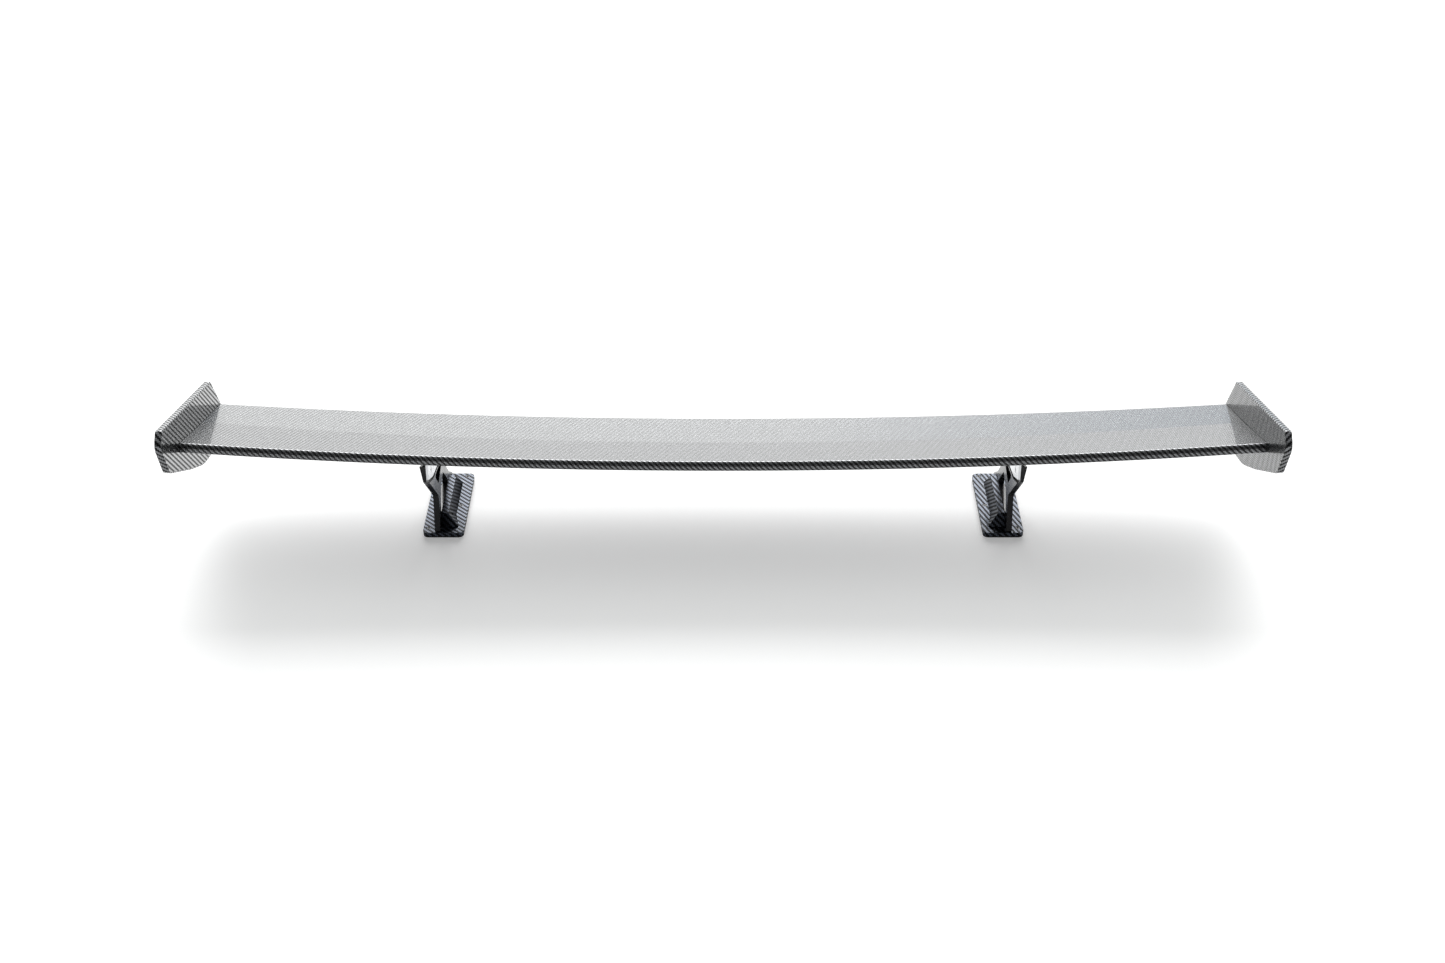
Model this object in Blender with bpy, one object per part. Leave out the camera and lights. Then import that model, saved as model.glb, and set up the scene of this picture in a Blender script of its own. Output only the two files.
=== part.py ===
"""Racing rear wing: one bowed carbon element between two endplates, on two low uprights.

Metres. X runs across the car, Y forward, Z up. The origin is under the middle of the overall box,
on the plane that the undersides of the two feet share.

The pieces form two groups. The stand is both feet with their uprights and pivot bolts. The wing is
everything that tilts on those bolts, and hangs under the empty "incidence_axis".
"""

import math

import bmesh
import bpy
import numpy as np
from mathutils import Matrix, Vector

FIT = 0.0003  # gap between neighbouring pieces
SIDES = {"left": -1, "right": 1}

# Wing element: a section drawn along its chord c (0 at the trailing edge) and its height n,
# carried across the span on a parabola that lifts the tips.
HALF_SPAN = 0.650
ENDPLATE_T = 0.008
ENDPLATE_IN = HALF_SPAN - ENDPLATE_T
CHORD = 0.2225
TRAILING_Y, TRAILING_Z = -0.0748, 0.1573
TIP_RISE = 0.0257
ATTACK = math.radians(15.6)
TIP_TWIST = math.radians(1.0)
TOP_SAG = 0.0016
T_TRAILING, T_MAX, T_NOSE = 0.0114, 0.0240, 0.0210
THICKEST_AT = 0.6
TRAILING_ROUND, NOSE_ROUND = 0.004, 0.016
SKIN_T = 0.0015
SPAN_STATIONS = 21

# Inside the element
INNER_GAP = 0.0005
SPARS = {"wing_spar_rear": 0.052, "wing_spar_front": 0.150}  # chord position of each spar's rear side
SPAR_WIDE, SPAR_WEB, SPAR_FLANGE = 0.012, 0.003, 0.002
RIB_T = 0.011
RIB_CHORD = (0.008, 0.205)
BLOCK_CHORD = (0.0665, 0.1475)
BLOCK_X = (0.331, 0.372)
ENDPLATE_SCREW_CHORD = (0.035, 0.105, 0.172)

# Pivot, clamp and the range of the wing's incidence
PIVOT_Y, PIVOT_Z = 0.088, 0.077
CLAMP_Y, CLAMP_Z = -0.0280, 0.1183
TILT_UP, TILT_DOWN = math.radians(2.5), math.radians(1.5)  # of the trailing edge
HEAD_ROOM, WEB_ROOM = 0.0007, 0.0013  # left under the element and under the web at either limit

# Upright: a plate whose head steps outwards, to leave a recess for the bracket's web
UPRIGHT_IN, UPRIGHT_OUT = 0.355, 0.362
HEAD_IN, HEAD_OUT = 0.358, 0.365
UPRIGHT_CHAMFER = 0.0007
NUT_FLOOR, PIVOT_FLOOR = 0.3610, 0.3625  # how deep the two nuts sit in the head's outer face
HEAD_FOOT = ((-0.0497, 0.1135), (0.060, 0.0790), (0.080, 0.0690), (0.0975, 0.0690))

# Bracket: a flange under the element and a web in the upright's recess
WEB_IN, WEB_OUT = UPRIGHT_IN, HEAD_IN - FIT
FLANGE_IN, FLANGE_T = 0.330, 0.0025
BRACKET_CHORD = (0.0295, 0.186)
WEB_EDGE = ((-0.052, 0.1182), (-0.017, 0.1022), (0.019, 0.0950), (0.060, 0.0800), (0.080, 0.0665),
            (0.096, 0.0665), (0.104, 0.0740))
BRACKET_SCREW_X = 0.341
BRACKET_SCREW_CHORD = (0.082, 0.132)

# Foot
FOOT_X = (0.326, 0.3773)
FOOT_Y = (0.002, 0.1456)
FOOT_TOP = 0.007
FOOT_ROUND = 0.007
GASKET_T, BASE_T, COVER_WALL = 0.0015, 0.0025, 0.0017
BASE_WEB_X = (0.3487, 0.3527)
BASE_WEB_Y = (0.034, 0.108)
RIDGE_TOP = 0.022
RAIL_BOLT_Y, RAIL_BOLT_Z = (0.044, 0.098), 0.0145
FOOT_SCREWS = ((0.3352, 0.068), (0.3345, 0.1385), (0.3707, 0.0145), (0.3707, 0.0850))

# Fasteners: shank radius, head radius, head height, hexagon half-width
ROUND_SIDES = 12
CLAMP_NUT_HALF, PIVOT_NUT_HALF = 0.0035, 0.0065
CLAMP_NUT_REACH, PIVOT_NUT_REACH = (half / math.cos(math.pi / 6) for half in (CLAMP_NUT_HALF, PIVOT_NUT_HALF))
SCREW_M3 = (0.0015, 0.0028, 0.0016, 0.0010)
SCREW_M4 = (0.0020, 0.0040, 0.0022, 0.00125)
BOLT_M5 = (0.0025, 0.0047, 0.0028, 0.0015)
BOLT_M8 = (0.0040, 0.0070, 0.0044, 0.0025)
FINISHES = {
    "carbon": ((0.035, 0.037, 0.042), 0.12, 0.0),
    "core": ((0.78, 0.74, 0.62), 0.8, 0.0),
    "black_alloy": ((0.045, 0.046, 0.05), 0.38, 0.6),
    "silver_alloy": ((0.62, 0.63, 0.65), 0.3, 1.0),
    "black_steel": ((0.03, 0.03, 0.032), 0.4, 0.7),
    "rubber": ((0.02, 0.02, 0.02), 0.85, 0.0),
}


# ---------------------------------------------------------------- mesh helpers
def clear_scene():
    """Remove the objects that the scene starts with."""
    for old in list(bpy.data.objects):
        bpy.data.objects.remove(old, do_unlink=True)


def finish_material(name):
    """Return the named Principled material, made on first use."""
    if name in bpy.data.materials:
        return bpy.data.materials[name]
    colour, roughness, metallic = FINISHES[name]
    material = bpy.data.materials.new(name)
    material.use_nodes = True
    shader = material.node_tree.nodes["Principled BSDF"]
    shader.inputs["Base Color"].default_value = (*colour, 1.0)
    shader.inputs["Roughness"].default_value = roughness
    shader.inputs["Metallic"].default_value = metallic
    return material


def add_object(name, mesh, finish, parent=None):
    """Link a mesh as a named piece and give it its finish."""
    piece = bpy.data.objects.new(name, mesh)
    bpy.context.collection.objects.link(piece)
    if not mesh.materials:
        mesh.materials.append(finish_material(finish))
    if parent is not None:
        piece.parent = parent
        piece.matrix_parent_inverse = Matrix.Translation(-parent.location)
    return piece


def to_mesh(bm, name, smooth_angle=math.radians(35)):
    """Turn a closed bmesh into a mesh with its faces pointing out."""
    bmesh.ops.recalc_face_normals(bm, faces=bm.faces)
    mesh = bpy.data.meshes.new(name)
    bm.to_mesh(mesh)
    bm.free()
    mesh.shade_smooth()
    mesh.set_sharp_from_angle(angle=smooth_angle)
    return mesh


def loft(rings, closed=False, bm=None):
    """Bridge a row of closed rings; the two end rings are capped unless the row is closed."""
    bm = bm or bmesh.new()
    rows = [[bm.verts.new(p) for p in ring] for ring in rings]
    pairs = list(zip(rows, rows[1:]))
    if closed:
        pairs.append((rows[-1], rows[0]))
    else:
        bm.faces.new(rows[0])
        bm.faces.new(rows[-1])
    for a, b in pairs:
        for i in range(len(a)):
            j = (i + 1) % len(a)
            bm.faces.new((a[i], a[j], b[j], b[i]))
    return bm


def fillet(points, steps=4):
    """Round an outline given as (y, z, radius) corners, each with an arc tangent to its two sides."""
    outline = []
    count = len(points)
    for i, (y, z, radius) in enumerate(points):
        corner = Vector((y, z))
        back = (Vector(points[i - 1][:2]) - corner).normalized()
        ahead = (Vector(points[(i + 1) % count][:2]) - corner).normalized()
        half = back.angle(ahead) / 2
        if radius == 0 or half > math.radians(89):
            outline.append(tuple(corner))
            continue
        centre = corner + (back + ahead).normalized() * (radius / math.sin(half))
        start = corner + back * (radius / math.tan(half)) - centre
        end = corner + ahead * (radius / math.tan(half)) - centre
        turn = start.angle_signed(end)
        for k in range(steps + 1):
            spoke = start.copy()
            spoke.rotate(Matrix.Rotation(-turn * k / steps, 2))
            outline.append(tuple(centre + spoke))
    return outline


def plate_yz(outline, x0, x1, bm=None):
    """Extrude an outline in the Y-Z plane from x0 to x1."""
    return loft([[(x, y, z) for y, z in outline] for x in (x0, x1)], bm=bm)


def plate_xy(outline, z0, z1, bm=None):
    """Extrude an outline in the X-Y plane from z0 to z1."""
    return loft([[(x, y, z) for x, y in outline] for z in (z0, z1)], bm=bm)


def frame_along(axis):
    """An axis as a unit vector, with two more that span the plane square to it."""
    axis = Vector(axis).normalized()
    side = axis.orthogonal().normalized()
    return axis, side, axis.cross(side)


def turned_cutter(bm, origin, axis, profile):
    """Add a solid of revolution: (radius, distance along the axis) from one end to the other."""
    axis, u, v = frame_along(axis)
    origin = Vector(origin)
    angles = [2 * math.pi * k / ROUND_SIDES for k in range(ROUND_SIDES)]
    rings = [
        [origin + axis * h + (u * math.cos(a) + v * math.sin(a)) * r for a in angles]
        for r, h in profile
    ]
    return loft(rings, bm=bm)


def carve(piece, bm, operation="DIFFERENCE"):
    """Cut the closed solids of a bmesh out of a piece, or join them to it."""
    cutter = bpy.data.objects.new("cutter", to_mesh(bm, "cutter"))
    bpy.context.collection.objects.link(cutter)
    cutter.hide_render = True
    cutter.display_type = "WIRE"
    boolean = piece.modifiers.new("carve", "BOOLEAN")
    boolean.operation = operation
    boolean.solver = "EXACT"
    boolean.object = cutter
    bpy.context.view_layer.update()
    result = bpy.data.meshes.new_from_object(piece.evaluated_get(bpy.context.evaluated_depsgraph_get()))
    piece.modifiers.clear()
    piece.data = result
    bpy.data.objects.remove(cutter, do_unlink=True)
    result.name = piece.name
    result.shade_smooth()
    result.set_sharp_from_angle(angle=math.radians(35))


def chamfer(piece, width):
    """Break a plate's sharp edges with one flat."""
    bevel = piece.modifiers.new("chamfer", "BEVEL")
    bevel.width = width
    bevel.segments = 1
    bevel.limit_method = "ANGLE"
    bevel.angle_limit = math.radians(60)


# ---------------------------------------------------------------- the wing's section
def thickness(c):
    """Section thickness square to the chord: a quarter sine up to the thickest point, then a parabola."""
    s = c / CHORD
    rise = T_TRAILING + (T_MAX - T_TRAILING) * math.sin(math.pi / 2 * min(s / THICKEST_AT, 1.0))
    fall = (T_MAX - T_NOSE) * (max(s - THICKEST_AT, 0.0) / (1 - THICKEST_AT)) ** 2
    return rise - fall


def rounding(c):
    """Share of the thickness left inside the trailing edge's cubic round or the nose's ellipse."""
    if c < TRAILING_ROUND:
        return (1 - (1 - c / TRAILING_ROUND) ** 3) ** (1 / 3)
    if c > CHORD - NOSE_ROUND:
        return math.sqrt(max(0.0, 1 - ((c - CHORD + NOSE_ROUND) / NOSE_ROUND) ** 2))
    return 1.0


def middle(c):
    """Height of the section's middle line under its top line, which sags between its two ends."""
    s = c / CHORD
    return -4 * TOP_SAG * s * (1 - s) - thickness(c) / 2


def surface(c, side):
    """Height of the section's outer surface: side +1 is the top, -1 the underside."""
    return middle(c) + side * thickness(c) / 2 * rounding(c)


def wing_point(x, c, n):
    """Place a point of the section: the parabola x squared lifts and twists it towards the tips."""
    out = (x / ENDPLATE_IN) ** 2
    angle = ATTACK + TIP_TWIST * out
    y = TRAILING_Y + c * math.cos(angle) + n * math.sin(angle)
    z = TRAILING_Z + TIP_RISE * out - c * math.sin(angle) + n * math.cos(angle)
    return Vector((x, y, z))


def underside(x, y):
    """Height of the element's underside above a point."""
    c = y - TRAILING_Y
    for _ in range(8):
        point = wing_point(x, c, surface(c, -1))
        c += (y - point.y) / math.cos(ATTACK)
    return wing_point(x, c, surface(c, -1)).z


def chord_samples():
    """Chord positions that follow both round ends closely and the flat middle evenly."""
    trailing = [TRAILING_ROUND * (1 - math.cos(math.pi / 2 * k / 4)) for k in range(4)]
    flat = list(np.linspace(TRAILING_ROUND, CHORD - NOSE_ROUND, 10))
    nose = [CHORD - NOSE_ROUND * (1 - math.sin(math.pi / 2 * k / 5)) for k in range(1, 6)]
    return trailing + flat + nose


def half_section(side):
    """Closed outline (c, n) of one skin: the outer line, then the inner line a wall's thickness in."""
    cs = chord_samples()
    outer = [[c, surface(c, side)] for c in cs]
    for end in (0, -1):
        outer[end][1] = middle(cs[end]) + side * FIT / 2
    outer = np.array(outer)
    along = np.gradient(outer, axis=0)
    normal = np.stack([along[:, 1], -along[:, 0]], axis=1) * side
    normal[0], normal[-1] = (1, 0), (-1, 0)
    normal /= np.linalg.norm(normal, axis=1)[:, None]
    inner = outer + normal * SKIN_T
    return np.concatenate([outer, inner[::-1]])


def spanwise(section, x0, x1, stations):
    """Rings of a section carried from x0 to x1."""
    return [[wing_point(x, c, n) for c, n in section] for x in np.linspace(x0, x1, stations)]


def inner_height(c, side):
    """Height of a skin's inner face with the gap that the pieces inside keep to it."""
    return surface(c, side) - side * (SKIN_T + INNER_GAP)


# ---------------------------------------------------------------- fasteners
def hexagon_radius(half_width, angle):
    """Distance to the side of a hexagon at an angle."""
    return half_width / math.cos((angle % (math.pi / 3)) - math.pi / 6)


def turned_piece(name, profile, closed=False):
    """Solid around Z from (radius, height, is_hexagon) steps; closed makes a ring with a bore."""
    angles = [2 * math.pi * k / ROUND_SIDES for k in range(ROUND_SIDES)]
    rings = []
    for radius, height, hexagon in profile:
        radii = [hexagon_radius(radius, a) if hexagon else radius for a in angles]
        rings.append([(r * math.cos(a), r * math.sin(a), height) for r, a in zip(radii, angles)])
    return to_mesh(loft(rings, closed=closed), name)


def button_bolt(name, size, length):
    """Domed-head bolt: its bearing face lies at Z = 0, the head above it and the shank below."""
    shank, head, high, key = size
    return turned_piece(name, [
        (key, high * 0.35, True), (key, high, True), (head * 0.7, high, False), (head, high * 0.4, False),
        (head, 0.0, False), (shank, 0.0, False), (shank, -length, False),
    ])


def sunk_screw(name, size, length):
    """Countersunk screw: its flat top lies at Z = 0 and everything else below."""
    shank, head, high, key = size
    return turned_piece(name, [
        (key, -high * 0.75, True), (key, 0.0, True), (head, 0.0, False), (shank, -high, False),
        (shank, -length, False),
    ])


def sunk_hole(bm, origin, axis, size, length):
    """Cutter for a countersunk screw whose top lies at the origin and whose shank follows the axis."""
    shank, head, high, _ = size
    return turned_cutter(bm, origin, axis, [
        (head + FIT, -0.002), (head + FIT, FIT), (shank + FIT, high + FIT), (shank + FIT, length),
    ])


def nut(name, shank, half_width, high):
    """Locking nut on Z = 0, with a round collar on top and a bore with running room."""
    bore = shank + FIT
    return turned_piece(name, [
        (bore, 0.0, False), (half_width, 0.0, True), (half_width, high * 0.65, True),
        (half_width * 0.9, high, False), (bore, high, False),
    ], closed=True)


def place(name, mesh, finish, location, axis, parent=None):
    """Set a fastener at a point with its local Z along an axis."""
    piece = add_object(name, mesh, finish)
    turn = Vector(axis).to_track_quat("Z", "Y")
    piece.rotation_euler = turn.to_euler()
    piece.location = Vector(location)
    if parent is not None:
        piece.parent = parent
        piece.matrix_parent_inverse = Matrix.Translation(-parent.location)
    return piece


# ---------------------------------------------------------------- wing group
def bracket_screw_seat(side, c):
    """Point under the flange where a bracket screw's head bears, and the way out of the element."""
    x = side * BRACKET_SCREW_X
    n = surface(c, -1)
    seat = wing_point(x, c, n - FIT - FLANGE_T - FIT)
    out = (seat - wing_point(x, c, n)).normalized()
    return seat, out


def bracket_screw_holes(side):
    """Cutters through flange, lower skin and block for one side's bracket screws."""
    bm = bmesh.new()
    for c in BRACKET_SCREW_CHORD:
        seat, out = bracket_screw_seat(side, c)
        radius = SCREW_M4[0] + FIT
        turned_cutter(bm, seat, -out, [(radius, -0.004), (radius, 0.0145)])
    return bm


def build_skins(axis):
    """The two carbon shells that meet at the nose and along the trailing edge."""
    reach = ENDPLATE_IN - FIT
    for name, side in (("wing_upper_skin", 1), ("wing_lower_skin", -1)):
        rings = spanwise(half_section(side), -reach, reach, SPAN_STATIONS)
        skin = add_object(name, to_mesh(loft(rings), name), "carbon", axis)
        if side < 0:
            for way in SIDES.values():
                carve(skin, bracket_screw_holes(way))


def build_spars(axis):
    """Two I-section carbon spars between the end ribs."""
    reach = ENDPLATE_IN - FIT - RIB_T - 3 * FIT
    for name, rear in SPARS.items():
        front = rear + SPAR_WIDE
        web = ((rear + front - SPAR_WEB) / 2, (rear + front + SPAR_WEB) / 2)
        top, low = (lambda c: inner_height(c, 1)), (lambda c: inner_height(c, -1))
        section = [
            (rear, top(rear)), (front, top(front)), (front, top(front) - SPAR_FLANGE),
            (web[1], top(front) - SPAR_FLANGE), (web[1], low(front) + SPAR_FLANGE),
            (front, low(front) + SPAR_FLANGE), (front, low(front)), (rear, low(rear)),
            (rear, low(rear) + SPAR_FLANGE), (web[0], low(rear) + SPAR_FLANGE),
            (web[0], top(rear) - SPAR_FLANGE), (rear, top(rear) - SPAR_FLANGE),
        ]
        add_object(name, to_mesh(loft(spanwise(section, -reach, reach, SPAN_STATIONS)), name), "carbon", axis)


def inner_section(chord, samples):
    """Closed outline that fills the space between the skins over a stretch of the chord."""
    cs = np.linspace(chord[0], chord[1], samples)
    return [(c, inner_height(c, 1)) for c in cs] + [(c, inner_height(c, -1)) for c in cs[::-1]]


def build_wing_side(label, side, axis, meshes):
    """End rib, mounting block, endplate, bracket and their fasteners on one side."""
    rib_out = ENDPLATE_IN - 2 * FIT
    rib = to_mesh(loft(spanwise(inner_section(RIB_CHORD, 12), side * (rib_out - RIB_T), side * rib_out, 2)),
                  "end_rib")
    rib = add_object(f"end_rib_{label}", rib, "core", axis)
    block = to_mesh(loft(spanwise(inner_section(BLOCK_CHORD, 6), side * BLOCK_X[0], side * BLOCK_X[1], 3)),
                    "mount_block")
    block = add_object(f"mount_block_{label}", block, "silver_alloy", axis)
    carve(block, bracket_screw_holes(side))

    endplate = to_mesh(plate_yz(endplate_outline(), side * ENDPLATE_IN, side * HALF_SPAN), "endplate")
    endplate = add_object(f"endplate_{label}", endplate, "carbon", axis)
    holes, rib_holes = bmesh.new(), bmesh.new()
    for number, c in enumerate(ENDPLATE_SCREW_CHORD, 1):
        spot = wing_point(side * (HALF_SPAN - FIT), c, middle(c))
        sunk_hole(holes, spot, (-side, 0, 0), SCREW_M4, 0.022)
        sunk_hole(rib_holes, spot, (-side, 0, 0), SCREW_M4, 0.022)
        place(f"endplate_screw_{label}_{number}", meshes["endplate_screw"], "black_steel", spot,
              (side, 0, 0), axis)
    carve(endplate, holes)
    carve(rib, rib_holes)
    chamfer(endplate, 0.0008)
    build_bracket(label, side, axis, meshes)


def endplate_outline():
    """Side view of an endplate: swept tail, straight rising top edge, belly under the element."""
    return fillet([
        (-0.1335, 0.2336, 0.005), (-0.1483, 0.2190, 0.014), (-0.1290, 0.1755, 0.010),
        (-0.1200, 0.1688, 0.008), (-0.0380, 0.1244, 0.200), (0.0160, 0.0985, 0.120),
        (0.0540, 0.0899, 0.080), (0.0970, 0.0890, 0.060), (0.1460, 0.0994, 0.008),
        (0.0970, 0.1713, 0.006),
    ])


def web_lower_edge(y):
    """Height of the bracket web's lower edge: it follows the element, then drops around the pivot."""
    return float(np.interp(y, *zip(*WEB_EDGE)))


def build_bracket(label, side, axis, meshes):
    """L-section bracket with its two screws, and the clamp bolt with its washer and nut."""
    rings = []
    for c in np.linspace(*BRACKET_CHORD, 15):
        inside = wing_point(side * FLANGE_IN, c, surface(c, -1) - FIT)
        outside = wing_point(side * WEB_OUT, c, surface(c, -1) - FIT)
        root = wing_point(side * WEB_IN, c, surface(c, -1) - FIT)
        drop = Vector((0, 0, -FLANGE_T))
        foot = web_lower_edge(outside.y)
        rings.append([
            inside, outside, (outside.x, outside.y, foot), (root.x, outside.y, foot),
            root + drop, inside + drop,
        ])
    bracket = add_object(f"wing_bracket_{label}", to_mesh(loft(rings), "wing_bracket"), "silver_alloy", axis)
    holes = bracket_screw_holes(side)
    outward = (side, 0, 0)
    turned_cutter(holes, (side * WEB_IN, PIVOT_Y, PIVOT_Z), outward,
                  [(BOLT_M8[0] + FIT, -0.003), (BOLT_M8[0] + FIT, 0.006)])
    clamp = (side * (WEB_IN + FIT), CLAMP_Y, CLAMP_Z)
    sunk_hole(holes, clamp, outward, SCREW_M4, 0.006)
    carve(bracket, holes)
    for number, c in enumerate(BRACKET_SCREW_CHORD, 1):
        seat, out = bracket_screw_seat(side, c)
        place(f"bracket_screw_{label}_{number}", meshes["bracket_screw"], "black_steel", seat, out, axis)
    place(f"clamp_bolt_{label}", meshes["clamp_bolt"], "silver_alloy", clamp, (-side, 0, 0), axis)
    place(f"clamp_nut_{label}", meshes["clamp_nut"], "silver_alloy",
          (side * (NUT_FLOOR + FIT), CLAMP_Y, CLAMP_Z), outward, axis)


# ---------------------------------------------------------------- stand group
def lowest_reach(height, y, room):
    """Lowest that an edge fixed to the wing comes above y as the wing tilts about the pivot, less some room."""
    reach = []
    for turn in (TILT_DOWN, 0.0, -TILT_UP):
        at = y
        for _ in range(4):
            at = PIVOT_Y + ((y - PIVOT_Y) + (height(at) - PIVOT_Z) * math.sin(turn)) / math.cos(turn)
        reach.append(PIVOT_Z + (at - PIVOT_Y) * math.sin(turn) + (height(at) - PIVOT_Z) * math.cos(turn))
    return min(reach) - room


def head_line(y):
    """Top edge of the upright's head."""
    return lowest_reach(lambda at: underside((HEAD_IN + HEAD_OUT) / 2, at), y, HEAD_ROOM)


def head_pad(side):
    """Wedge on the head's outer face: flush along its foot and thickest along the head's top edge."""
    steps = np.linspace(HEAD_FOOT[0][0], HEAD_FOOT[-1][0], 8)
    root, lip = UPRIGHT_OUT - 0.0015, 0.0004
    rings = []
    for y in steps:
        low = float(np.interp(y, *zip(*HEAD_FOOT)))
        top_y = y - 0.0018 if y == steps[0] else y
        top = head_line(top_y) - lip
        rings.append([(side * root, y, low), (side * (UPRIGHT_OUT + 0.0002), y, low),
                      (side * HEAD_OUT, top_y, top), (side * root, top_y, top)])
    return loft(rings)


def web_recess(side):
    """Cutter for the recess that the bracket's web swings in."""
    rings = []
    for y in (-0.0600, *(corner[0] for corner in WEB_EDGE[:-1]), 0.1100):
        low = lowest_reach(web_lower_edge, y, WEB_ROOM)
        rings.append([(side * x, y, z) for x, z in ((UPRIGHT_IN - 0.002, low), (HEAD_IN, low),
                                                    (HEAD_IN, 0.170), (UPRIGHT_IN - 0.002, 0.170))])
    return loft(rings)


def upright_outline():
    """Side view of an upright: a foot rail, a trunk that forks, and a leg down to the rail's front."""
    head = [(y, head_line(y), 0) for y in (-0.020, 0.010, 0.040, 0.070)]
    low = FOOT_TOP + FIT
    return fillet([
        (0.0040, low, 0.001), (0.0145, 0.0550, 0.010), (-0.0500, 0.1135, 0.004),
        (-0.0520, head_line(-0.052), 0.0006), *head, (0.0990, head_line(0.099), 0.005),
        (0.0995, 0.0675, 0.006), (0.0835, 0.0590, 0.006), (0.1140, 0.0295, 0.030),
        (0.1425, 0.0112, 0.001), (0.1425, low, 0.001),
    ], steps=3)


def arc_slot(centre, through, turns, half_width, steps=6):
    """Outline of a round-ended slot that follows a circle about a centre, between two turns from a point."""
    spoke = Vector(through) - Vector(centre)
    radius, start = spoke.length, math.atan2(spoke.y, spoke.x)
    first, last = start + min(turns), start + max(turns)

    def at(about, reach, angle):
        return (about[0] + reach * math.cos(angle), about[1] + reach * math.sin(angle))

    outline = []
    for begin, end, reach, facing in ((first, last, radius + half_width, last),
                                      (last, first, radius - half_width, first + math.pi)):
        outline += [at(centre, reach, begin + (end - begin) * k / steps) for k in range(steps + 1)]
        tip = at(centre, radius, end)
        outline += [at(tip, half_width, facing + math.pi * k / steps) for k in range(1, steps)]
    return outline


def build_upright(label, side, meshes):
    """Upright plate with its two windows, clamp slot and bolt holes, and the bolts it carries."""
    x0, x1 = side * UPRIGHT_IN, side * UPRIGHT_OUT
    upright = to_mesh(plate_yz(upright_outline(), x0, x1), "upright")
    upright = add_object(f"upright_{label}", upright, "black_alloy")
    carve(upright, head_pad(side), "UNION")
    carve(upright, web_recess(side))
    outward = (side, 0, 0)
    past = side * 0.005
    head_window = [(-0.0040, 0.0940, 0.003), (0.0220, 0.0680, 0.003), (0.0715, 0.0795, 0.003)]
    foot_window = [
        (0.0225, 0.0235, 0.003), (0.0290, 0.0390, 0.010), (0.0370, 0.0530, 0.006), (0.0635, 0.0595, 0.003),
        (0.1020, 0.0235, 0.003),
    ]
    cutters = bmesh.new()
    for outline in (head_window, foot_window):
        plate_yz(fillet(outline, steps=3), x0 - past, x1 + past, bm=cutters)
    centre, clamp, turns = (PIVOT_Y, PIVOT_Z), (CLAMP_Y, CLAMP_Z), (-TILT_UP, TILT_DOWN)
    plate_yz(arc_slot(centre, clamp, turns, SCREW_M4[0] + FIT), x0 - past, x1 + past, bm=cutters)
    turned_cutter(cutters, (x0, PIVOT_Y, PIVOT_Z), outward,
                  [(BOLT_M8[0] + FIT, -0.005), (BOLT_M8[0] + FIT, 0.012)])
    for y in RAIL_BOLT_Y:
        sunk_hole(cutters, (side * (UPRIGHT_OUT - FIT), y, RAIL_BOLT_Z), (-side, 0, 0), BOLT_M5, 0.012)
    carve(upright, cutters)
    seats = plate_yz(arc_slot(centre, clamp, turns, CLAMP_NUT_REACH + FIT), side * NUT_FLOOR, x1 + past)
    turned_cutter(seats, (side * PIVOT_FLOOR, PIVOT_Y, PIVOT_Z), outward,
                  [(PIVOT_NUT_REACH + 0.001, 0.0), (PIVOT_NUT_REACH + 0.001, 0.008)])
    carve(upright, seats)
    chamfer(upright, UPRIGHT_CHAMFER)
    for number, y in enumerate(RAIL_BOLT_Y, 1):
        place(f"upright_bolt_{label}_{number}", meshes["upright_bolt"], "black_steel",
              (side * (UPRIGHT_OUT - FIT), y, RAIL_BOLT_Z), outward)
    place(f"pivot_bolt_{label}", meshes["pivot_bolt"], "black_steel",
          (side * (WEB_IN - FIT), PIVOT_Y, PIVOT_Z), (-side, 0, 0))
    place(f"pivot_nut_{label}", meshes["pivot_nut"], "silver_alloy",
          (side * (PIVOT_FLOOR + FIT), PIVOT_Y, PIVOT_Z), outward)


def foot_outline(side, inset):
    """Rounded rectangle of a foot, drawn in by an inset."""
    x0, x1 = FOOT_X[0] + inset, FOOT_X[1] - inset
    y0, y1 = FOOT_Y[0] + inset, FOOT_Y[1] - inset
    radius = FOOT_ROUND - inset
    corners = [(x0, y0, radius), (x1, y0, radius), (x1, y1, radius), (x0, y1, radius)]
    return [(side * x, y) for x, y in fillet(corners)]


def ridge(side, inset, bottom):
    """Rings of the raised ridge beside the upright: a flared foot and a narrow top."""
    inner_x, flare_x, top_x = 0.3392 + inset, 0.3336 + inset, 0.3465 + 0.6 * inset
    outer_x = UPRIGHT_IN - FIT - inset
    near, far = 0.0165 + inset, 0.1235 - inset
    top = RIDGE_TOP - inset
    foot = [(flare_x, near), (inner_x, 0.045), (inner_x, far), (outer_x, far), (outer_x, near)]
    crown = [(top_x, near + 0.009), (top_x, 0.045), (top_x, far - 0.008), (outer_x, far - 0.008),
             (outer_x, near + 0.009)]
    rows = [(foot, bottom), (foot, FOOT_TOP - inset), (crown, top)]
    return loft([[(side * x, y, z) for x, y in ring] for ring, z in rows])


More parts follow.
